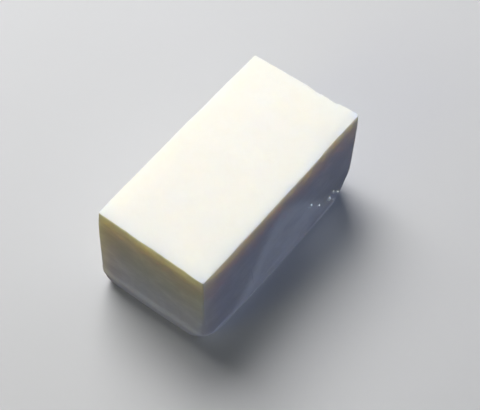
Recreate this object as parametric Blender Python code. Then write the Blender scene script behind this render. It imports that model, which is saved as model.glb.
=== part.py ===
"""A block of silken tofu, turned out of its tub and lying on its long side.

The block is one soft, solid piece. Its top edges are crisp, as the tub and the
knife left them. Under its own weight the lower part has spread outwards a
little, with a soft belly low on each long side, and the foot of each side
tucks back in under the block. The upright edges start sharp at the top and
grow rounder towards the foot, each in its own way. A flake is missing from the
top edge of the +X end.

Metres, +Z up. X runs along the block, and the origin is at the middle of the
underside.
"""

import math
from collections import namedtuple

import bmesh
import bpy
from mathutils import Vector

NAME = "tofu_block"

# The top face and the height
LENGTH = 0.110
WIDTH = 0.0575
HEIGHT = 0.0535

# Edges
TOP_EDGE_RADIUS = 0.0005
TOP_CORNER_RADIUS = 0.0009

# Each upright edge, by the signs of its X and Y: its radius at the foot, and how
# late it grows to that on the way down
Corner = namedtuple("Corner", "foot lateness")
CORNERS = {
    (-1, -1): Corner(0.0114, 3.2),
    (1, -1): Corner(0.0152, 1.2),
    (1, 1): Corner(0.0070, 2.2),
    (-1, 1): Corner(0.0024, 1.75),
}

# Each side, given at its two ends: how far its foot has spread out, and how
# deep and how high the foot then tucks in under it
Side = namedtuple("Side", "spread tuck tuck_height")
SIDE_X = {
    -1: Side((0.0020, 0.0022), (0.0043, 0.0030), (0.0140, 0.0115)),
    1: Side((0.0002, 0.0010), (0.0033, 0.0037), (0.0200, 0.0160)),
}
SIDE_Y = {
    -1: Side((0.0007, 0.0023), (0.0031, 0.0031), (0.0120, 0.0245)),
    1: Side((0.0012, 0.0010), (0.0016, 0.0037), (0.0140, 0.0160)),
}
TUCK_ZONE = 0.0245
TUCK_POWER = 1.5

# The belly of each long side: where along X it reaches highest, its half
# length, and how high it reaches at its ends and in its middle. The side is
# slightly hollow above it
Belly = namedtuple("Belly", "middle reach ends rise")
BELLIES = {
    -1: Belly(-0.0030, 0.0260, 0.0150, 0.0240),
    1: Belly(0.0090, 0.0300, 0.0170, 0.0160),
}
BELLY_FULL = 0.0070
HOLLOW = 0.0012

# How far every side swells at half height, and how far its foot bows outwards
# half-way along
BULGE = 0.0003
FOOT_BOW = 0.0006

# The -X end was cut slightly out of square, so its +Y corner sits back
CORNER_SETBACK = 0.0007

# The missing flake at the top edge of the +X end: where along Y it starts
# sharply, is full depth and has faded out, and its size
FLAKE_START, FLAKE_FULL, FLAKE_END = -0.0186, -0.0165, -0.0005
FLAKE_DEPTH = 0.0014
FLAKE_HEIGHT = 0.0026

# How many faces the block is divided into, along each part of its outline
CORNER_ZONE = 0.007
CORNER_CELLS = 4
LENGTH_CELLS = 24
WIDTH_CELLS = 12
TUCK_CELLS = 7
WALL_CELLS = 5
EDGE_CELLS = 2

TOFU_COLOUR = (0.91, 0.89, 0.80, 1.0)
TOFU_ROUGHNESS = 0.35

QUARTER_TURN = math.pi / 2


def clamp(value, low=0.0, high=1.0):
    """Keep a value between two limits."""
    return max(low, min(high, value))


def blend(ends, share):
    """A value part of the way between the two in ends."""
    return ends[0] + (ends[1] - ends[0]) * share


def smooth(value):
    """Ease a share in and out."""
    value = clamp(value)
    return value * value * (3 - 2 * value)


def sign(value):
    """The side of zero a value is on."""
    return 1 if value > 0 else -1


def remove_old_objects():
    """Start from an empty scene."""
    for old in list(bpy.data.objects):
        bpy.data.objects.remove(old, do_unlink=True)


def divide(mesh, axis, cells):
    """Divide every edge that runs along one axis into equal cells."""
    along = [e for e in mesh.edges if abs((e.verts[1].co - e.verts[0].co)[axis]) > 1e-6]
    bmesh.ops.subdivide_edges(mesh, edges=along, cuts=cells - 1, use_grid_fill=True)


def station(place, cells, half):
    """Turn a cell count from -1 to 1 into a share of the half size.

    The cells near each end share out the corner zone, and the others share out
    what lies between.
    """
    count = abs(place) * cells / 2
    middle_cells = cells / 2 - CORNER_CELLS
    middle = half - CORNER_ZONE
    if count <= middle_cells:
        return sign(place) * count / middle_cells * middle / half
    in_corner = (count - middle_cells) / CORNER_CELLS
    return sign(place) * (middle + in_corner * CORNER_ZONE) / half


def level(place):
    """The height and the rounding inset at a place from -1, the foot, to 1."""
    cell = (place + 1) / 2 * (TUCK_CELLS + WALL_CELLS + EDGE_CELLS)
    wall_top = HEIGHT - TOP_EDGE_RADIUS
    if cell <= TUCK_CELLS:
        return TUCK_ZONE * (1 - math.cos(QUARTER_TURN * cell / TUCK_CELLS)), 0.0
    cell -= TUCK_CELLS
    if cell <= WALL_CELLS:
        return blend((TUCK_ZONE, wall_top), cell / WALL_CELLS), 0.0
    turn = QUARTER_TURN * clamp((cell - WALL_CELLS) / EDGE_CELLS)
    return wall_top + TOP_EDGE_RADIUS * math.sin(turn), TOP_EDGE_RADIUS * (1 - math.cos(turn))


def corner_radius(side_x, side_y, z):
    """The plan radius of one upright edge at a height."""
    corner = CORNERS[(side_x, side_y)]
    lower = (1 - z / HEIGHT) ** corner.lateness
    return blend((TOP_CORNER_RADIUS, corner.foot), lower)


def outline(s, t, inset, z):
    """A point on the round-cornered plan, for a point on the unit square's rim."""
    half_x = LENGTH / 2 - inset
    half_y = WIDTH / 2 - inset
    radius = max(corner_radius(sign(s), sign(t), z) - inset, 0.0002)
    straight_s = 1 - CORNER_ZONE / (LENGTH / 2)
    straight_t = 1 - CORNER_ZONE / (WIDTH / 2)
    if abs(s) >= abs(t):
        turn = QUARTER_TURN / 2 * clamp((abs(t) - straight_t) / (1 - straight_t))
    else:
        turn = QUARTER_TURN * (1 - clamp((abs(s) - straight_s) / (1 - straight_s)) / 2)
    x = (half_x - radius) * clamp(abs(s) / straight_s) + radius * math.cos(turn)
    y = (half_y - radius) * clamp(abs(t) / straight_t) + radius * math.sin(turn)
    return sign(s) * x, sign(t) * y


def swell(belly, x, z):
    """A long side's share of its spread at a height, and how far it is hollow."""
    arch = math.exp(-(((x - belly.middle) / belly.reach) ** 2))
    top = belly.ends + belly.rise * arch
    full = smooth((top - z) / (top - BELLY_FULL))
    hollow = HOLLOW * arch * smooth((HEIGHT - z) / (HEIGHT - top)) * (1 - full)
    return blend((1 - z / HEIGHT, full), arch), hollow


def side_offset(side, share, z, spread_share):
    """How far one side stands out from its top edge, at a height."""
    out = blend(side.spread, share) * spread_share + BULGE * math.sin(math.pi * z / HEIGHT)
    out += FOOT_BOW * spread_share * math.sin(math.pi * share)
    below = clamp(1 - z / blend(side.tuck_height, share))
    return out - blend(side.tuck, share) * (1 - (1 - below**TUCK_POWER) ** (1 / TUCK_POWER))


def slump(x, y, z):
    """Spread the sides, tuck the foot in and set back the corner cut askew."""
    along = clamp(x / LENGTH + 0.5)
    across = clamp(y / WIDTH + 0.5)
    swelling, hollow = swell(BELLIES[sign(y)], x, z)
    out_x = side_offset(SIDE_X[sign(x)], across, z, 1 - z / HEIGHT)
    out_y = side_offset(SIDE_Y[sign(y)], along, z, swelling) - hollow
    back = CORNER_SETBACK * clamp(-2 * x / LENGTH) * across
    return x * (1 + 2 * out_x / LENGTH) + back, y * (1 + 2 * out_y / WIDTH) - back


def flake(x, y, z, end):
    """Move a point near the top edge of the +X end onto the broken face."""
    fade = clamp((FLAKE_END - y) / (FLAKE_END - FLAKE_START)) ** 0.5
    size = fade * clamp((y - FLAKE_START) / (FLAKE_FULL - FLAKE_START)) ** 0.7
    depth = FLAKE_DEPTH * size
    height = FLAKE_HEIGHT * size
    inside = end - x
    below = HEIGHT - z
    if size <= 0.0 or inside >= depth or below >= height:
        return x, z
    reach = (1 - inside / depth) + (1 - below / height)
    if reach <= 1.0:
        return x, z
    return end - depth + (depth - inside) / reach, HEIGHT - height + (height - below) / reach


def shape_point(s, t, place):
    """Carry one point of the divided cube to its place on the block."""
    z, inset = level(place)
    ring = max(abs(s), abs(t))
    if ring < 1e-6:
        x, y = 0.0, 0.0
    else:
        x, y = outline(s / ring, t / ring, inset, z)
        x, y = x * ring, y * ring
    x, y = slump(x, y, z)
    x, z = flake(x, y, z, LENGTH / 2)
    return Vector((x, y, z))


def make_block_mesh():
    """Divide a cube and give it the form of the block, centred on the origin."""
    cells_x = LENGTH_CELLS + 2 * CORNER_CELLS
    cells_y = WIDTH_CELLS + 2 * CORNER_CELLS
    cells_z = TUCK_CELLS + WALL_CELLS + EDGE_CELLS
    block = bmesh.new()
    bmesh.ops.create_cube(block, size=2.0)
    divide(block, 0, cells_x)
    divide(block, 1, cells_y)
    divide(block, 2, cells_z)
    for vert in block.verts:
        s = station(vert.co.x, cells_x, LENGTH / 2)
        t = station(vert.co.y, cells_y, WIDTH / 2)
        vert.co = shape_point(s, t, vert.co.z)
    low = Vector([min(v.co[axis] for v in block.verts) for axis in range(3)])
    high = Vector([max(v.co[axis] for v in block.verts) for axis in range(3)])
    middle = (low + high) / 2
    bmesh.ops.translate(block, verts=block.verts, vec=(-middle.x, -middle.y, -low.z))
    bmesh.ops.recalc_face_normals(block, faces=block.faces)
    mesh = bpy.data.meshes.new(NAME)
    block.to_mesh(mesh)
    block.free()
    return mesh


def make_material():
    """Moist, ivory-white bean curd."""
    tofu = bpy.data.materials.new("silken_tofu")
    tofu.use_nodes = True
    shader = tofu.node_tree.nodes["Principled BSDF"]
    shader.inputs["Base Color"].default_value = TOFU_COLOUR
    shader.inputs["Roughness"].default_value = TOFU_ROUGHNESS
    shader.inputs["Metallic"].default_value = 0.0
    return tofu


def main():
    remove_old_objects()
    collection = bpy.data.collections.new(NAME)
    bpy.context.scene.collection.children.link(collection)
    block = bpy.data.objects.new(NAME, make_block_mesh())
    block.data.materials.append(make_material())
    block.data.shade_smooth()
    block.data.set_sharp_from_angle(angle=math.radians(35))
    collection.objects.link(block)


main()
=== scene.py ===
"""Silken tofu block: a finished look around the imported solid.

The script is laid out as an add-on. Its panel, in the 3D view's sidebar, lists
one operator that makes the block and one that makes the stage. Run as a
script, it calls both in order.

Metres, +Z up. X runs along the block, and the origin is under its middle.
"""

import math
import random
from collections import namedtuple

import bmesh
import bpy
from bpy.props import FloatProperty, FloatVectorProperty, PointerProperty
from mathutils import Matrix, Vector, noise
from mathutils.kdtree import KDTree


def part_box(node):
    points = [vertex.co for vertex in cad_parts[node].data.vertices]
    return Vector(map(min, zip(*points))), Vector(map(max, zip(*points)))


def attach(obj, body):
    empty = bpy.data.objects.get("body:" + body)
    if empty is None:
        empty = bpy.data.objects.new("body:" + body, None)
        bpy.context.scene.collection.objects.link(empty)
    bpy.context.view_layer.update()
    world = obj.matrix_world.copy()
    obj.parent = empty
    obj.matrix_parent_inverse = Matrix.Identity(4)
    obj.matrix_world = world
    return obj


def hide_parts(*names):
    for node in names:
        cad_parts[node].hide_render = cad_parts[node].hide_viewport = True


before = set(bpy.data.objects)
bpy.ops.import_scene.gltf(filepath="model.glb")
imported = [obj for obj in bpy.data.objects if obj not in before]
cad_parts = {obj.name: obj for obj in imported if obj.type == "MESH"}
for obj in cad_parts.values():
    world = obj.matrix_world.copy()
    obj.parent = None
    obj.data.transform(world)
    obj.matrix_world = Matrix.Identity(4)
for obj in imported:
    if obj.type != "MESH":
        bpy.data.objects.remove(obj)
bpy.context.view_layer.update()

bl_info = {
    "name": "Silken Tofu Block",
    "version": (1, 0, 0),
    "blender": (4, 5, 0),
    "location": "3D View > Sidebar > Tofu",
    "description": "Makes a block of silken tofu and a plain studio around it",
    "category": "Add Mesh",
}

NODE = "tofu_block"
BODY = "root"

BLOCK_LOW, BLOCK_HIGH = (Vector(corner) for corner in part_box(NODE))
BLOCK_SIZE = BLOCK_HIGH - BLOCK_LOW
BLOCK_MIDDLE = (BLOCK_LOW + BLOCK_HIGH) / 2

QUARTER_TURN = math.pi / 2

# Each side, given at its two ends: how far its foot has spread out, and how
# deep and how high the foot then tucks in under it
Side = namedtuple("Side", "spread tuck tuck_height")
SIDE_X = {
    -1: Side((0.0020, 0.0022), (0.0043, 0.0030), (0.0140, 0.0115)),
    1: Side((0.0002, 0.0010), (0.0033, 0.0037), (0.0200, 0.0160)),
}
SIDE_Y = {
    -1: Side((0.0007, 0.0023), (0.0031, 0.0031), (0.0120, 0.0245)),
    1: Side((0.0012, 0.0010), (0.0016, 0.0037), (0.0140, 0.0160)),
}
TUCK_POWER = 1.5

# How much longer and wider the block is at its widest than at its top
SPREAD_X = 0.0030
SPREAD_Y = 0.0030

# The soft belly low on each long side: where along X it reaches highest, its
# half length, and how high it reaches at its ends and in its middle
Belly = namedtuple("Belly", "middle reach ends rise")
BELLIES = {
    -1: Belly(-0.0030, 0.0260, 0.0150, 0.0240),
    1: Belly(0.0090, 0.0300, 0.0170, 0.0160),
}

# Each upright edge, by the signs of its X and Y: its radius at the foot, and how
# late it grows to that on the way down
Corner = namedtuple("Corner", "foot lateness")
CORNERS = {
    (-1, -1): Corner(0.0114, 3.2),
    (1, -1): Corner(0.0152, 1.2),
    (1, 1): Corner(0.0070, 2.2),
    (-1, 1): Corner(0.0024, 1.75),
}
CORNER_ZONE = 0.007
LEAST_RADIUS = 0.0002

# The broken stretch of the +X top edge, along Y: where it ends sharply, where
# it is full depth, and where it has faded out
BREAK_START, BREAK_FULL, BREAK_END = -0.0186, -0.0165, -0.0005
BREAK_WAVE = 0.0022

# The half-loose flake beside it: its stretch along Y, how far it fades in and out
# there, its width, how far down the end face it reaches, and the width of the
# step at its inner edge, whose waves are a share of the flake's width
LEDGE_START, LEDGE_END = -0.0090, -0.0008
LEDGE_FADE_IN, LEDGE_FADE_OUT = 0.0012, 0.0030
LEDGE_WIDTH, LEDGE_REACH = 0.0022, 0.004
LEDGE_STEP = 0.0005
LEDGE_WAVE, LEDGE_WAVE_SHARE = 0.0020, 0.25

# How far down from the top the cut edges stray, and how far up from the floor
# the fine relief fades out
WANDER_REACH = 0.009
RELIEF_FADE = 0.004

# The lengths of the slow and the quick waves in the cut edges of the ends and of
# the long sides, and in the sway of every face
END_WAVES = (0.010, 0.0035)
SIDE_WAVES = (0.016, 0.004)
SWAY_WAVES = (0.019, 0.006)

# The drag marks on the ends, coarse and fine, and how far they slope; and those
# on the long sides
STREAK_LENGTHS, STREAK_HEIGHTS = (0.014, 0.008), (0.0016, 0.0040)
STREAK_SLOPE = 0.10
DRAG_WIDTH, DRAG_HEIGHT = 0.0030, 0.020

# The crease where the foot turns in: its share of the tuck's height, how far it
# wanders and over what length, over what length it comes and goes, and its width
# on a low and on a high tuck
CREASE_SHARE = 0.85
CREASE_WANDER, CREASE_WAVE = 0.0006, 0.015
CREASE_STRENGTH_WAVE = 0.012
CREASE_WIDTHS = (0.0014, 0.0036)
LOW_TUCK, HIGH_TUCK = 0.013, 0.023

# How much closer together the faces are near the corners and on the walls, and
# how many follow the rounding of a top edge
CORNER_DENSITY, WALL_DENSITY = 1.2, 1.1
EDGE_CELLS = 3

# Bubbles that opened as pits, and beads of whey low on the -Y side
PIT_SEED = 7
PIT_COUNT = 46
PIT_RADIUS = (0.0005, 0.0011)
PIT_SHARE = (0.25, 0.5)
PIT_TOP_GAP = 0.002
Bead = namedtuple("Bead", "x z radius height")
BEADS = (
    Bead(0.0207, 0.0239, 0.0012, 0.00065),
    Bead(0.0259, 0.0182, 0.0010, 0.00060),
    Bead(0.0344, 0.0141, 0.0015, 0.00085),
    Bead(0.0369, 0.0160, 0.0012, 0.00075),
    Bead(0.0410, 0.0117, 0.0013, 0.00080),
    Bead(0.0385, 0.0085, 0.0010, 0.00060),
)

# The finer patch of mesh under each bead: its reach in bead radii, and how many
# times each edge in it is cut
BEAD_PATCH_REACH = 1.8
BEAD_PATCH_CUTS = 3

# A hairline scratch down the -Y side, drawn as a thin line of painted shade, and how far it fades at
# each end
Scratch = namedtuple("Scratch", "x width low high fade")
SCRATCH = Scratch(-0.0225, 0.00035, 0.0120, 0.0250, 0.003)

# The painted highlight: a pale band that follows the belly of the -Y side
PAINTED_BAND = Belly(0.0020, 0.0460, 0.0060, 0.0310)

# The painted highlight along the crest low on the -X end: its height at the
# middle, how fast it falls along Y, and its half width
CREST_HEIGHT, CREST_SLOPE, CREST_WIDTH = 0.0122, 0.03, 0.0045

# The painted sheen near the -X end of the -Y side: the level it would reach at the
# middle, how fast it rises towards -X, and its half width
SHEEN_LEVEL, SHEEN_SLOPE, SHEEN_WIDTH = -0.00375, 0.25, 0.0032

# The middle of the wettest patch, along X and Z, and the height of the painted shade at the foot
WET_X, WET_Z = 0.033, 0.016
SHADED_FOOT_HEIGHT = 0.009

# The lights: where each stands from the block's middle, its size and its colour
Lamp = namedtuple("Lamp", "name place size colour")
LAMPS = (
    Lamp("key", (0.32, 0.58, 0.95), 0.80, (1.0, 0.985, 0.95)),
    Lamp("side", (-1.00, 0.15, 0.60), 0.40, (1.0, 0.90, 0.40)),
    Lamp("cool", (-0.25, -0.60, 1.10), 0.35, (0.42, 0.60, 1.0)),
    Lamp("glint", (0.72, -0.90, 0.20), 0.06, (0.9, 0.95, 1.0)),
)

# How far the camera stands to the right of and above the line at which it
# would look straight at the block's middle
CAMERA_RIGHT, CAMERA_UP = 0.0041, -0.0026
CAMERA_SENSOR = 36.0

FLOOR_HALF_SIZE = 3.0


def clamp(value, low=0.0, high=1.0):
    """Keep a value between two limits."""
    return max(low, min(high, value))


def blend(ends, share):
    """A value part of the way between the two in ends."""
    return ends[0] + (ends[1] - ends[0]) * share


def smooth(value):
    """Ease a share in and out."""
    value = clamp(value)
    return value * value * (3 - 2 * value)


def crowd(share):
    """Set equal steps closer together towards 1."""
    return share * (1.35 - 0.35 * share)


def sign(value):
    """The side of zero a value is on."""
    return 1 if value > 0 else -1


def ripple(size, *place):
    """Smooth noise from about -1 to 1, with bumps of about one size."""
    return noise.noise(Vector([value / size for value in place]))


class BlockSizes(bpy.types.PropertyGroup):
    """The block's own sizes."""

    length: FloatProperty(
        name="Length", description="Outer length", default=BLOCK_SIZE.x, min=0.02, unit="LENGTH"
    )
    width: FloatProperty(
        name="Width", description="Outer width", default=BLOCK_SIZE.y, min=0.02, unit="LENGTH"
    )
    height: FloatProperty(
        name="Height", description="Height", default=BLOCK_SIZE.z, min=0.02, unit="LENGTH"
    )
    top_edge: FloatProperty(
        name="Top edge", description="Radius of the crisp top edges",
        default=0.00045, min=0.0001, unit="LENGTH",
    )
    top_corner: FloatProperty(
        name="Top corner", description="Plan radius of the corners at the top",
        default=0.0009, min=0.0002, unit="LENGTH",
    )
    bulge: FloatProperty(
        name="Bulge", description="How far the sides swell at half height",
        default=0.0003, min=0.0, unit="LENGTH",
    )
    foot_bow: FloatProperty(
        name="Foot bow", description="How far the foot of a side bows out half-way along",
        default=0.0006, min=0.0, unit="LENGTH",
    )
    belly_full: FloatProperty(
        name="Belly full", description="Height at which the bellies stand out most",
        default=0.007, min=0.0, unit="LENGTH",
    )
    hollow: FloatProperty(
        name="Hollow", description="How far a long side draws in above its belly",
        default=0.0012, min=0.0, unit="LENGTH",
    )
    setback: FloatProperty(
        name="Setback", description="How far the askew corner sits back",
        default=0.0007, min=0.0, unit="LENGTH",
    )
    spacing: FloatProperty(
        name="Mesh spacing", description="Size of the faces of the mesh",
        default=0.00064, min=0.0003, unit="LENGTH",
    )


class BlockMarks(bpy.types.PropertyGroup):
    """The marks that the knife, the tub and handling left."""

    flake_depth: FloatProperty(
        name="Flake depth", description="How far the missing flake cut into the top",
        default=0.0014, min=0.0, unit="LENGTH",
    )
    flake_height: FloatProperty(
        name="Flake height", description="How far down the end face the flake went",
        default=0.0026, min=0.0, unit="LENGTH",
    )
    ledge_drop: FloatProperty(
        name="Ledge drop", description="How far the half-loose flake beside it has sunk",
        default=0.00035, min=0.0, unit="LENGTH",
    )
    ridge_height: FloatProperty(
        name="Ridge height", description="Height of the crease where the foot turns in",
        default=0.00034, min=0.0, unit="LENGTH",
    )
    edge_wander: FloatProperty(
        name="Edge wander", description="How far the cut top edges stray from straight",
        default=0.0003, min=0.0, unit="LENGTH",
    )
    streak_depth: FloatProperty(
        name="Streak depth", description="Depth of the drag marks on the cut ends",
        default=0.00007, min=0.0, unit="LENGTH",
    )
    sway: FloatProperty(
        name="Sway", description="Depth of the slow unevenness of every face",
        default=0.00020, min=0.0, unit="LENGTH",
    )


class TofuLook(bpy.types.PropertyGroup):
    """The colour and wetness of the curd, and the colours of the shade and glow painted on it."""

    ivory: FloatVectorProperty(
        name="Ivory", description="Main colour of the curd", subtype="COLOR",
        size=3, default=(0.867, 0.862, 0.815), min=0.0, max=1.0,
    )
    cream: FloatVectorProperty(
        name="Cream", description="Colour of the slightly denser patches", subtype="COLOR",
        size=3, default=(0.860, 0.853, 0.800), min=0.0, max=1.0,
    )
    # Painted shade: the colour that darkens the side faces, most on the -X end and the -Y side,
    # where they stand in shade
    shade: FloatVectorProperty(
        name="Shade", description="Colour of the glassy depths in the side faces",
        subtype="COLOR", size=3, default=(0.575, 0.56, 0.535), min=0.0, max=1.0,
    )
    # Painted glow: straw and olive stand in for warm light leaking through the curd from the lit
    # top, high on the -X end
    straw: FloatVectorProperty(
        name="Straw", description="Warm colour of the curd high on the -X end",
        subtype="COLOR", size=3, default=(0.84, 0.79, 0.52), min=0.0, max=1.0,
    )
    olive: FloatVectorProperty(
        name="Olive", description="Warm colour of the glassy depths high on the -X end",
        subtype="COLOR", size=3, default=(0.56, 0.53, 0.33), min=0.0, max=1.0,
    )
    glow_depth: FloatProperty(
        name="Glow depth", description="How far red light spreads inside the curd",
        default=0.018, min=0.0, unit="LENGTH",
    )
    roughness: FloatProperty(
        name="Roughness", description="Roughness of the damp surface",
        default=0.42, min=0.0, max=1.0, subtype="FACTOR",
    )
    wetness: FloatProperty(
        name="Wetness", description="Strength of the water film on the wettest patches",
        default=0.8, min=0.0, max=1.0, subtype="FACTOR",
    )


class StageLook(bpy.types.PropertyGroup):
    """The floor, the lights and the camera."""

    floor_colour: FloatVectorProperty(
        name="Floor", description="Colour of the plain floor", subtype="COLOR",
        size=3, default=(0.60, 0.61, 0.64), min=0.0, max=1.0,
    )
    key_power: FloatProperty(
        name="Key power", description="Power of the large soft light overhead, in watts",
        default=17.9, min=0.0,
    )
    side_power: FloatProperty(
        name="Side power", description="Power of the weak warm light at the -X end, in watts",
        default=1.45, min=0.0,
    )
    cool_power: FloatProperty(
        name="Cool power", description="Power of the weak blue light from the -Y side, in watts",
        default=0.5, min=0.0,
    )
    glint_power: FloatProperty(
        name="Glint power", description="Power of the small light that only glints on wet beads",
        default=420.0, min=0.0,
    )
    air_above: FloatVectorProperty(
        name="Air above", description="Light that comes from all round overhead",
        subtype="COLOR", size=3, default=(0.02, 0.024, 0.04), min=0.0,
    )
    air_below: FloatVectorProperty(
        name="Air below", description="Light that comes up from the surroundings",
        subtype="COLOR", size=3, default=(0.315, 0.362, 0.525), min=0.0,
    )
    camera_azimuth: FloatProperty(
        name="Azimuth", description="Camera's bearing round the block",
        default=math.radians(-52.4), subtype="ANGLE",
    )
    camera_elevation: FloatProperty(
        name="Elevation", description="Camera's height above the horizon",
        default=math.radians(55.3), subtype="ANGLE",
    )
    camera_distance: FloatProperty(
        name="Distance", description="From the camera to the block's middle",
        default=0.577, min=0.1, unit="LENGTH",
    )
    camera_lens: FloatProperty(
        name="Lens", description="Focal length in millimetres on a 36 mm sensor",
        default=97.5, min=10.0,
    )


class BlockForm:
    """Carries the points of a divided cube to their places on the block."""

    def __init__(self, sizes, marks):
        self.sizes = sizes
        self.marks = marks
        self.length = sizes.length - SPREAD_X
        self.width = sizes.width - SPREAD_Y
        self.height = sizes.height
        self.tuck_zone = max(max(side.tuck_height) for side in SIDE_Y.values())
        self.corner_cells = round(CORNER_ZONE / sizes.spacing * CORNER_DENSITY)
        self.cells_x = self.cells_along(self.length)
        self.cells_y = self.cells_along(self.width)
        wall_spacing = sizes.spacing / WALL_DENSITY
        self.tuck_cells = round(self.tuck_zone / wall_spacing)
        self.wall_cells = round((self.height - self.tuck_zone) / wall_spacing)
        self.cells_z = self.tuck_cells + self.wall_cells + EDGE_CELLS

    def cells_along(self, size):
        """An even number of cells along one side of the top."""
        middle = 2 * round((size - 2 * CORNER_ZONE) / self.sizes.spacing / 2)
        return middle + 2 * self.corner_cells

    def station(self, place, cells, half):
        """Turn a cell count from -1 to 1 into a share of the half size."""
        count = abs(place) * cells / 2
        middle_cells = cells / 2 - self.corner_cells
        middle = half - CORNER_ZONE
        if count <= middle_cells:
            return sign(place) * count / middle_cells * middle / half
        in_corner = crowd((count - middle_cells) / self.corner_cells)
        return sign(place) * (middle + in_corner * CORNER_ZONE) / half

    def level(self, place):
        """The height and the rounding inset at a place from -1, the foot, to 1."""
        cell = (place + 1) / 2 * self.cells_z
        radius = self.sizes.top_edge
        wall_top = self.height - radius
        if cell <= self.tuck_cells:
            return self.tuck_zone * (1 - math.cos(QUARTER_TURN * cell / self.tuck_cells)), 0.0
        cell -= self.tuck_cells
        if cell <= self.wall_cells:
            return blend((self.tuck_zone, wall_top), crowd(cell / self.wall_cells)), 0.0
        turn = QUARTER_TURN * clamp((cell - self.wall_cells) / EDGE_CELLS)
        return wall_top + radius * math.sin(turn), radius * (1 - math.cos(turn))

    def outline(self, s, t, inset, z):
        """A point of the round-cornered plan, for a point on the unit square's rim."""
        corner = CORNERS[(sign(s), sign(t))]
        lower = (1 - z / self.height) ** corner.lateness
        radius = blend((self.sizes.top_corner, corner.foot), lower) - inset
        radius = max(radius, LEAST_RADIUS)
        straight_s = 1 - CORNER_ZONE / (self.length / 2)
        straight_t = 1 - CORNER_ZONE / (self.width / 2)
        if abs(s) >= abs(t):
            turn = QUARTER_TURN / 2 * clamp((abs(t) - straight_t) / (1 - straight_t))
        else:
            turn = QUARTER_TURN * (1 - clamp((abs(s) - straight_s) / (1 - straight_s)) / 2)
        half_x = self.length / 2 - inset - radius
        half_y = self.width / 2 - inset - radius
        x = half_x * clamp(abs(s) / straight_s) + radius * math.cos(turn)
        y = half_y * clamp(abs(t) / straight_t) + radius * math.sin(turn)
        return sign(s) * x, sign(t) * y

    def swell(self, belly, x, z):
        """A long side's share of its spread at a height, and how far it is hollow."""
        arch = math.exp(-(((x - belly.middle) / belly.reach) ** 2))
        top = belly.ends + belly.rise * arch
        full = smooth((top - z) / (top - self.sizes.belly_full))
        hollow = self.sizes.hollow * arch * smooth((self.height - z) / (self.height - top))
        return blend((1 - z / self.height, full), arch), hollow * (1 - full)

    def side_offset(self, side, share, z, swell):
        """How far one side stands out from its top edge, at a height."""
        lower = 1 - z / self.height
        out = blend(side.spread, share) * swell
        out += self.sizes.bulge * math.sin(math.pi * lower)
        out += self.sizes.foot_bow * swell * math.sin(math.pi * share)
        below = clamp(1 - z / blend(side.tuck_height, share))
        return out - blend(side.tuck, share) * (1 - (1 - below**TUCK_POWER) ** (1 / TUCK_POWER))

    def slump(self, x, y, z):
        """Spread the sides, tuck in the foot and set back the askew corner."""
        along = clamp(x / self.length + 0.5)
        across = clamp(y / self.width + 0.5)
        out_x = self.side_offset(SIDE_X[sign(x)], across, z, 1 - z / self.height)
        swell, hollow = self.swell(BELLIES[sign(y)], x, z)
        out_y = self.side_offset(SIDE_Y[sign(y)], along, z, swell) - hollow
        back = self.sizes.setback * clamp(-2 * x / self.length) * across
        return x * (1 + 2 * out_x / self.length) + back, y * (1 + 2 * out_y / self.width) - back

    def flake(self, x, y, z):
        """Move a point near the top edge of the +X end onto the broken face."""
        fade = clamp((BREAK_END - y) / (BREAK_END - BREAK_START)) ** 0.5
        snap = clamp((y - BREAK_START) / (BREAK_FULL - BREAK_START)) ** 0.7
        size = fade * snap * (0.82 + 0.30 * ripple(BREAK_WAVE, y, 7.0, 0.0))
        depth = self.marks.flake_depth * size
        height = self.marks.flake_height * size
        inside = self.length / 2 - x
        below = self.height - z
        if size > 0.0 and inside < depth and below < height:
            reach = (1 - inside / depth) + (1 - below / height)
            if reach > 1.0:
                x = self.length / 2 - depth + (depth - inside) / reach
                z = self.height - height + (height - below) / reach
        return x, z - self.ledge(x, y, z)

    def ledge(self, x, y, z):
        """How far a point has sunk with the half-loose flake beside the break."""
        along = smooth((y - LEDGE_START) / LEDGE_FADE_IN)
        along *= smooth((LEDGE_END - y) / LEDGE_FADE_OUT)
        wavy = LEDGE_WIDTH * (1 + LEDGE_WAVE_SHARE * ripple(LEDGE_WAVE, y, 3.0, 0.0))
        across = smooth((x - self.length / 2 + wavy) / LEDGE_STEP)
        near_top = smooth(1 - (self.height - z) / LEDGE_REACH)
        return self.marks.ledge_drop * along * across * near_top

    def wander(self, x, y, z):
        """Let the top edges stray a little, as a hand-held knife does."""
        near_top = smooth(1 - (self.height - z) / WANDER_REACH)
        near_end = smooth((abs(x) / self.length * 2 - 0.9) / 0.1)
        near_side = smooth((abs(y) / self.width * 2 - 0.85) / 0.15)
        stray_x = ripple(END_WAVES[0], y, sign(x) * 3.0, 0.2)
        stray_x += 0.5 * ripple(END_WAVES[1], y, sign(x), 0.7)
        stray_y = ripple(SIDE_WAVES[0], x, sign(y) * 5.0, 0.4)
        stray_y += 0.4 * ripple(SIDE_WAVES[1], x, sign(y), 0.9)
        x -= sign(x) * near_top * near_end * self.marks.edge_wander * (0.5 + stray_x)
        y -= sign(y) * near_top * near_side * self.marks.edge_wander * 0.6 * (0.5 + stray_y)
        return x, y

    def place(self, cube_point):
        """The place on the block of one point of the divided cube."""
        z, inset = self.level(cube_point.z)
        s = self.station(cube_point.x, self.cells_x, self.length / 2)
        t = self.station(cube_point.y, self.cells_y, self.width / 2)
        ring = max(abs(s), abs(t), 1e-6)
        x, y = self.outline(s / ring, t / ring, inset, z)
        x, y = self.slump(x * ring, y * ring, z)
        x, y = self.wander(x, y, z)
        x, z = self.flake(x, y, z)
        return Vector((x, y, z))

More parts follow.
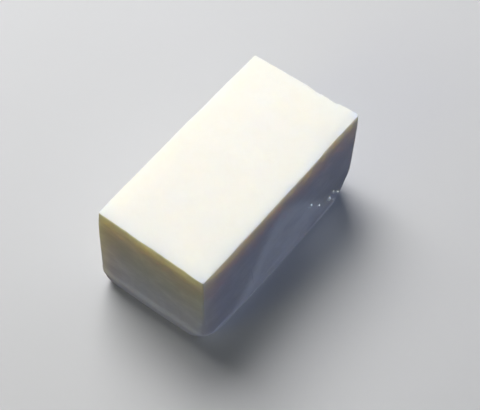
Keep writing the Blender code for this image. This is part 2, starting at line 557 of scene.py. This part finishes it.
    def relief(self, point, normal):
        """How far the surface stands out at a point, apart from the main form."""
        x, y, z = point
        sway = ripple(SWAY_WAVES[0], x, y, z) + 0.35 * ripple(SWAY_WAVES[1], x, y, z)
        level = z + STREAK_SLOPE * y
        streaks = ripple(1.0, y / STREAK_LENGTHS[0], level / STREAK_HEIGHTS[0], sign(x))
        streaks += 0.6 * ripple(1.0, y / STREAK_LENGTHS[1], level / STREAK_HEIGHTS[1], sign(x) + 4)
        drags = ripple(1.0, x / DRAG_WIDTH, z / DRAG_HEIGHT, 9 * sign(y))
        height = self.marks.sway * sway * (0.45 + 0.55 * (1 - normal.z ** 2))
        height += self.marks.streak_depth * streaks * normal.x ** 2
        height += 0.4 * self.marks.streak_depth * drags * normal.y ** 2
        height += self.crease(x, y, z, normal)
        return height * smooth(z / RELIEF_FADE)

    def crease(self, x, y, z, normal):
        """The low ridge along the line where the foot of a side turns in."""
        if abs(normal.x) > abs(normal.y):
            side, share = SIDE_X[sign(x)], clamp(y / self.width + 0.5)
        else:
            side, share = SIDE_Y[sign(y)], clamp(x / self.length + 0.5)
        tuck_height = blend(side.tuck_height, share)
        line = CREASE_SHARE * tuck_height + CREASE_WANDER * ripple(CREASE_WAVE, x + y, 2.0, 0.0)
        high = smooth((tuck_height - LOW_TUCK) / (HIGH_TUCK - LOW_TUCK))
        strength = 0.7 + 0.5 * ripple(CREASE_STRENGTH_WAVE, x, y, 5.0)
        upright = smooth((0.5 - abs(normal.z)) / 0.3)
        ridge = math.exp(-(((z - line) / blend(CREASE_WIDTHS, high)) ** 2))
        return self.marks.ridge_height * strength * upright * ridge


def divide(mesh, axis, cells):
    """Divide every edge that runs along one axis into equal cells."""
    along = [e for e in mesh.edges if abs((e.verts[1].co - e.verts[0].co)[axis]) > 1e-6]
    bmesh.ops.subdivide_edges(mesh, edges=along, cuts=cells - 1, use_grid_fill=True)


def dimple(block, tree, centre, radius, depth):
    """Push a round patch of the surface in, or out if the depth is negative."""
    outwards = block.verts[tree.find(centre)[1]].normal.copy()
    for place, index, away in tree.find_range(centre, radius):
        block.verts[index].co = place - outwards * depth * (1 - (away / radius) ** 2) ** 1.5


def plant(block):
    """A tree that finds the vertices near a place."""
    tree = KDTree(len(block.verts))
    for index, vert in enumerate(block.verts):
        tree.insert(vert.co, index)
    tree.balance()
    block.verts.ensure_lookup_table()
    return tree


def add_pits(block):
    """Scatter the small bubbles that opened as pits."""
    tree = plant(block)
    draw = random.Random(PIT_SEED)
    sides = [v for v in block.verts if RELIEF_FADE < v.co.z < BLOCK_SIZE.z - PIT_TOP_GAP]
    for vert in draw.sample(sides, PIT_COUNT):
        radius = draw.uniform(*PIT_RADIUS)
        dimple(block, tree, vert.co.copy(), radius, radius * draw.uniform(*PIT_SHARE))


def add_beads(block):
    """Raise the beads of whey, on a finer patch of mesh."""
    tree = plant(block)
    near = [Vector((bead.x, BLOCK_LOW.y, bead.z)) for bead in BEADS]
    centres = [block.verts[tree.find(place)[1]].co.copy() for place in near]
    patch = set()
    for bead, centre in zip(BEADS, centres):
        for _, index, _ in tree.find_range(centre, BEAD_PATCH_REACH * bead.radius):
            patch.update(block.verts[index].link_edges)
    bmesh.ops.subdivide_edges(
        block, edges=list(patch), cuts=BEAD_PATCH_CUTS, use_grid_fill=True
    )
    block.normal_update()
    tree = plant(block)
    for bead, centre in zip(BEADS, centres):
        dimple(block, tree, centre, bead.radius, -bead.height)


def fit_to_box(block, low, size):
    """Move and scale a mesh so that it fills a box exactly."""
    for axis in range(3):
        places = [vert.co[axis] for vert in block.verts]
        first, last = min(places), max(places)
        scale = size[axis] / (last - first)
        for vert in block.verts:
            vert.co[axis] = low[axis] + (vert.co[axis] - first) * scale


def make_block_mesh(sizes, marks):
    """The block's mesh: a divided cube, formed, then given its fine relief."""
    form = BlockForm(sizes, marks)
    block = bmesh.new()
    bmesh.ops.create_cube(block, size=2.0)
    for axis, cells in enumerate((form.cells_x, form.cells_y, form.cells_z)):
        divide(block, axis, cells)
    for vert in block.verts:
        vert.co = form.place(vert.co)
    size = Vector((sizes.length, sizes.width, sizes.height))
    fit_to_box(block, BLOCK_MIDDLE - size / 2, size)
    bmesh.ops.recalc_face_normals(block, faces=block.faces)
    block.normal_update()
    moves = [vert.normal * form.relief(vert.co, vert.normal) for vert in block.verts]
    for vert, move in zip(block.verts, moves):
        vert.co += move
    block.normal_update()
    add_pits(block)
    add_beads(block)
    for face in block.faces:
        face.smooth = True
    mesh = bpy.data.meshes.new("silken_tofu")
    block.to_mesh(mesh)
    block.free()
    return mesh


class Signal:
    """A number that varies over the surface, which Python can do sums with."""

    def __init__(self, graph, socket):
        self.graph = graph
        self.socket = socket

    def sum_up(self, operation, *values):
        """Add one Math node."""
        sockets = dict(enumerate(values))
        return self.graph.make("ShaderNodeMath", {"operation": operation}, sockets)

    def __add__(self, other):
        return self.sum_up("ADD", self, other)

    def __radd__(self, other):
        return self.sum_up("ADD", other, self)

    def __sub__(self, other):
        return self.sum_up("SUBTRACT", self, other)

    def __rsub__(self, other):
        return self.sum_up("SUBTRACT", other, self)

    def __mul__(self, other):
        return self.sum_up("MULTIPLY", self, other)

    def __rmul__(self, other):
        return self.sum_up("MULTIPLY", other, self)

    def __pow__(self, other):
        return self.sum_up("POWER", self, other)

    def __abs__(self):
        return self.sum_up("ABSOLUTE", self)

    def ramp(self, low, high):
        """0 below one value and 1 above another, eased between them."""
        settings = {"interpolation_type": "SMOOTHSTEP"}
        sockets = {"Value": self, "From Min": low, "From Max": high}
        return self.graph.make("ShaderNodeMapRange", settings, sockets)


class Graph:
    """Adds nodes to a material's or a world's node tree and joins them up."""

    def __init__(self, owner, shader="Principled BSDF"):
        owner.use_nodes = True
        self.tree = owner.node_tree
        self.shader = self.tree.nodes[shader]

    def feed(self, socket, value):
        """Give a socket a value or a link."""
        if isinstance(value, Signal):
            self.tree.links.new(value.socket, socket)
        else:
            socket.default_value = value

    def make(self, kind, settings=None, sockets=None, output=0):
        """Add one node: its settings first, then its sockets' values or links."""
        node = self.tree.nodes.new(kind)
        for name, value in (settings or {}).items():
            setattr(node, name, value)
        for name, value in (sockets or {}).items():
            self.feed(node.inputs[name], value)
        return Signal(self, node.outputs[output])

    def cloud(self, place, size, detail=2.0):
        """Noise with features of one size, in metres."""
        sockets = {"Vector": place, "Scale": 1 / size, "Detail": detail, "Roughness": 0.55,
                   "Distortion": 0.6}
        return self.make("ShaderNodeTexNoise", None, sockets, "Fac")

    def drawn_out(self, place, slope, stretch):
        """A place in a space that draws noise out along level or sloping lines."""
        sockets = {"Vector": place, "Rotation": slope, "Scale": stretch}
        return self.make("ShaderNodeMapping", None, sockets)

    def part(self, vector, axis):
        """One axis of a vector."""
        split = self.make("ShaderNodeSeparateXYZ", sockets={0: vector})
        return Signal(self, split.socket.node.outputs[axis])

    def mix_colours(self, factor, first, second):
        """A colour between two."""
        return self.make("ShaderNodeMix", {"data_type": "RGBA"}, {0: factor, 6: first, 7: second}, 2)

    def set_shader(self, **values):
        """Set the shader's own sockets by name, with _ for a space."""
        for name, value in values.items():
            self.feed(self.shader.inputs[name.replace("_", " ")], value)


class Skin:
    """What varies over the surface of the block."""

    def __init__(self, graph):
        place = graph.make("ShaderNodeTexCoord", output="Object")
        facing = graph.make("ShaderNodeTexCoord", output="Normal")
        facing_x, facing_y = graph.part(facing, "X"), graph.part(facing, "Y")
        self.x, self.y, self.height = (graph.part(place, axis) for axis in "XYZ")
        self.upright = facing_x ** 2.0 + facing_y ** 2.0
        # How fully a face looks towards -X, and towards -Y
        self.left = facing_x.ramp(-0.4, -0.8)
        self.front = facing_y.ramp(-0.4, -0.8)
        self.patches = graph.cloud(place, 0.018, 3.0)
        self.mottle = graph.cloud(place, 0.0035, 3.0)
        self.grain = graph.cloud(place, 0.0006, 2.0)
        sloping = graph.drawn_out(place, (0.16, 0.10, 0.0), (0.40, 0.40, 1.0))
        self.veins = graph.cloud(sloping, 0.0070, 4.0)
        self.streaks = graph.cloud(sloping, 0.0018, 3.0)

    def painted_band(self):
        """The painted highlight: a pale band on the -Y side, palest along its upper rim."""
        arch = 1 - abs(self.x - PAINTED_BAND.middle).ramp(0.0, PAINTED_BAND.reach)
        above = self.height - arch * PAINTED_BAND.rise - PAINTED_BAND.ends + (self.veins - 0.5) * 0.014
        inside = 1 - above.ramp(-0.008, 0.009)
        rim = 1 - abs(above + 0.003).ramp(0.0, 0.009)
        return inside * 0.60 + rim * 0.22

    def sheen(self):
        """The painted sheen: a pale streak near the -X end of the -Y side."""
        off_line = self.height + self.x * SHEEN_SLOPE - SHEEN_LEVEL
        return 1 - abs(off_line).ramp(0.0003, SHEEN_WIDTH)

    def scratch(self):
        """The painted shade of the hairline scratch, 1 in its middle."""
        off_line = (self.x - SCRATCH.x) * (1 / SCRATCH.width)
        started = self.height.ramp(SCRATCH.low, SCRATCH.low + SCRATCH.fade)
        ended = self.height.ramp(SCRATCH.high - SCRATCH.fade, SCRATCH.high)
        return (1 - off_line ** 2.0).ramp(0.0, 1.0) * (started - ended)

    def crest_highlight(self):
        """The painted highlight along the crest low on the -X end."""
        line = self.height + self.y * CREST_SLOPE + (self.patches - 0.5) * 0.002
        return 1 - abs(line - CREST_HEIGHT).ramp(0.0004, CREST_WIDTH)

    def painted_shade(self):
        """How much painted shade darkens a side face, most on the -X end and the -Y side, broken up
        by the curd's veins and lifted by painted highlights: none on the top face.
        """
        # Painted shade low on the sides, near the floor
        foot = 1 - self.height.ramp(0.001, SHADED_FOOT_HEIGHT)
        # Painted shade over the -Y side and the -X end, lifted where the painted highlights lie
        side = self.painted_band() + self.sheen() * 0.55 - self.scratch() * 0.25 - foot * 0.18 - 0.60
        end = self.crest_highlight() * 0.34 - foot * 0.26 - 0.50
        grain = (self.veins * 0.7 + self.streaks * 0.3 - 0.5) * 1.2
        pale = self.front * side + self.left * end + grain + 0.76
        return self.upright * (1 - pale.ramp(0.0, 1.0))

    def film(self):
        """How thick the water film is: thickest round the beads of whey."""
        off_x = abs(self.x - WET_X).ramp(0.010, 0.018)
        off_z = abs(self.height - WET_Z).ramp(0.007, 0.012)
        damp = self.patches.ramp(0.40, 0.58) * (1 - self.front) * 0.15
        return damp + self.front * (1 - off_x) * (1 - off_z)

    def roughness(self, middle):
        """The roughness round a middle value."""
        return middle + (self.mottle - 0.5) * 0.25 + self.upright * (self.streaks - 0.5) * 0.2

    def bumps(self):
        """The height of the finest grain."""
        return self.grain * 0.25 + self.mottle * 0.8 + self.upright * self.streaks * 0.5


def make_tofu_material(look):
    """Moist, faintly translucent curd with a fine grain, and painted shade, glow and highlights on
    its -X end and -Y side.
    """
    tofu = bpy.data.materials.new("silken_tofu")
    graph = Graph(tofu)
    skin = Skin(graph)
    colours = (look.ivory, look.cream, look.shade, look.straw, look.olive)
    ivory, cream, shade, straw, olive = ((*colour, 1.0) for colour in colours)

    tone = (skin.patches * 0.6 + skin.mottle * 0.4).ramp(0.42, 0.62)
    # Painted glow: warmer colour high on the -X end, where light leaks through the curd from the top
    warm = skin.left * skin.height.ramp(0.016, 0.046) * 0.8
    curd = graph.mix_colours(warm, graph.mix_colours(tone, ivory, cream), straw)
    # The painted shade's colour, warmed high on the -X end by the painted glow
    painted_shade_colour = graph.mix_colours(warm, shade, olive)
    bump = {"Strength": 0.5, "Distance": 0.00012, "Height": skin.bumps()}

    graph.shader.subsurface_method = "BURLEY"
    graph.set_shader(
        Base_Color=graph.mix_colours(skin.painted_shade(), curd, painted_shade_colour),
        Roughness=skin.roughness(look.roughness),
        Coat_Weight=skin.film() * look.wetness,
        Coat_Roughness=0.07,
        Coat_IOR=1.33,
        Normal=graph.make("ShaderNodeBump", None, bump),
        IOR=1.36,
        Specular_IOR_Level=0.04,
        Subsurface_Weight=0.8,
        Subsurface_Radius=(1.0, 0.68, 0.24),
        Subsurface_Scale=look.glow_depth,
    )
    return tofu


def add_object(name, data):
    """Put new data into the scene."""
    made = bpy.data.objects.new(name, data)
    bpy.context.scene.collection.objects.link(made)
    return made


def add_area_light(name, place, target, size, colour):
    """A square soft light that points at a place."""
    light = bpy.data.lights.new(name, "AREA")
    light.size = size
    light.color = colour
    lamp = add_object(name, light)
    lamp.location = place
    lamp.rotation_euler = (target - place).to_track_quat("-Z", "Y").to_euler()
    return lamp


class TOFU_OT_make_block(bpy.types.Operator):
    """Make the block of silken tofu"""

    bl_idname = "tofu.make_block"
    bl_label = "Make Tofu Block"

    def execute(self, context):
        scene = context.scene
        mesh = make_block_mesh(scene.tofu_sizes, scene.tofu_marks)
        mesh.materials.append(make_tofu_material(scene.tofu_look))
        block = add_object("silken_tofu_block", mesh)
        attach(block, BODY)
        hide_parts(NODE)
        return {"FINISHED"}


class TOFU_OT_make_stage(bpy.types.Operator):
    """Make the plain floor, the soft light and the camera"""

    bl_idname = "tofu.make_stage"
    bl_label = "Make Stage"

    def execute(self, context):
        look = context.scene.tofu_stage
        self.make_floor(look)
        self.make_lights(look)
        self.make_camera(context.scene, look)
        context.scene.view_settings.view_transform = "Standard"
        return {"FINISHED"}

    def make_floor(self, look):
        """A plain pale floor under the block, which throws no light back at it."""
        floor_mesh = bmesh.new()
        bmesh.ops.create_grid(floor_mesh, x_segments=1, y_segments=1, size=FLOOR_HALF_SIZE)
        mesh = bpy.data.meshes.new("floor")
        floor_mesh.to_mesh(mesh)
        floor_mesh.free()
        paint = bpy.data.materials.new("floor")
        matt = Graph(paint)
        matt.set_shader(Base_Color=(*look.floor_colour, 1.0), Roughness=0.9, Specular_IOR_Level=0.0)
        mesh.materials.append(paint)
        floor = add_object("floor", mesh)
        floor.location.z = BLOCK_LOW.z
        floor.visible_diffuse = floor.visible_glossy = floor.visible_shadow = False

    def make_lights(self, look):
        """A broad light overhead and behind, three small ones, and dim air all round."""
        for lamp in LAMPS:
            place = BLOCK_MIDDLE + Vector(lamp.place)
            light = add_area_light(lamp.name, place, BLOCK_MIDDLE, lamp.size, lamp.colour)
            light.data.energy = getattr(look, f"{lamp.name}_power")
            light.visible_diffuse = lamp.name != "glint"
        world = bpy.data.worlds.new("air")
        graph = Graph(world, "Background")
        direction = graph.make("ShaderNodeTexCoord", output="Generated")
        rising = graph.part(direction, "Z")
        below, above = (*look.air_below, 1.0), (*look.air_above, 1.0)
        low_air = graph.mix_colours(rising.ramp(-0.80, -0.30), above, below)
        graph.set_shader(Color=graph.mix_colours(rising.ramp(-0.25, 0.25), low_air, above))
        bpy.context.scene.world = world

    def make_camera(self, scene, look):
        """A long lens that looks down across the front corner."""
        azimuth, elevation = look.camera_azimuth, look.camera_elevation
        back = Vector((
            math.sin(azimuth) * math.cos(elevation),
            -math.cos(azimuth) * math.cos(elevation),
            math.sin(elevation),
        ))
        right = Vector((math.cos(azimuth), math.sin(azimuth), 0.0))
        up = back.cross(right)
        data = bpy.data.cameras.new("camera")
        data.lens = look.camera_lens
        data.sensor_width = CAMERA_SENSOR
        data.clip_start = 0.01
        camera = add_object("camera", data)
        shift = CAMERA_RIGHT * right + CAMERA_UP * up
        camera.location = BLOCK_MIDDLE + look.camera_distance * back + shift
        camera.rotation_euler = (-back).to_track_quat("-Z", "Y").to_euler()
        scene.camera = camera


class TOFU_PT_panel(bpy.types.Panel):
    """The tofu tools"""

    bl_label = "Silken Tofu"
    bl_idname = "TOFU_PT_panel"
    bl_space_type = "VIEW_3D"
    bl_region_type = "UI"
    bl_category = "Tofu"

    def draw(self, context):
        for group in ("tofu_sizes", "tofu_marks", "tofu_look", "tofu_stage"):
            settings = getattr(context.scene, group)
            box = self.layout.box()
            for name in settings.bl_rna.properties.keys():
                if name not in {"rna_type", "name"}:
                    box.prop(settings, name)
        self.layout.operator(TOFU_OT_make_block.bl_idname)
        self.layout.operator(TOFU_OT_make_stage.bl_idname)


GROUPS = {
    "tofu_sizes": BlockSizes,
    "tofu_marks": BlockMarks,
    "tofu_look": TofuLook,
    "tofu_stage": StageLook,
}
CLASSES = (*GROUPS.values(), TOFU_OT_make_block, TOFU_OT_make_stage, TOFU_PT_panel)


def register():
    for cls in CLASSES:
        bpy.utils.register_class(cls)
    for name, group in GROUPS.items():
        setattr(bpy.types.Scene, name, PointerProperty(type=group))


def unregister():
    for name in GROUPS:
        delattr(bpy.types.Scene, name)
    for cls in reversed(CLASSES):
        bpy.utils.unregister_class(cls)


def main():
    register()
    bpy.ops.tofu.make_block()
    bpy.ops.tofu.make_stage()


if __name__ == "__main__":
    main()
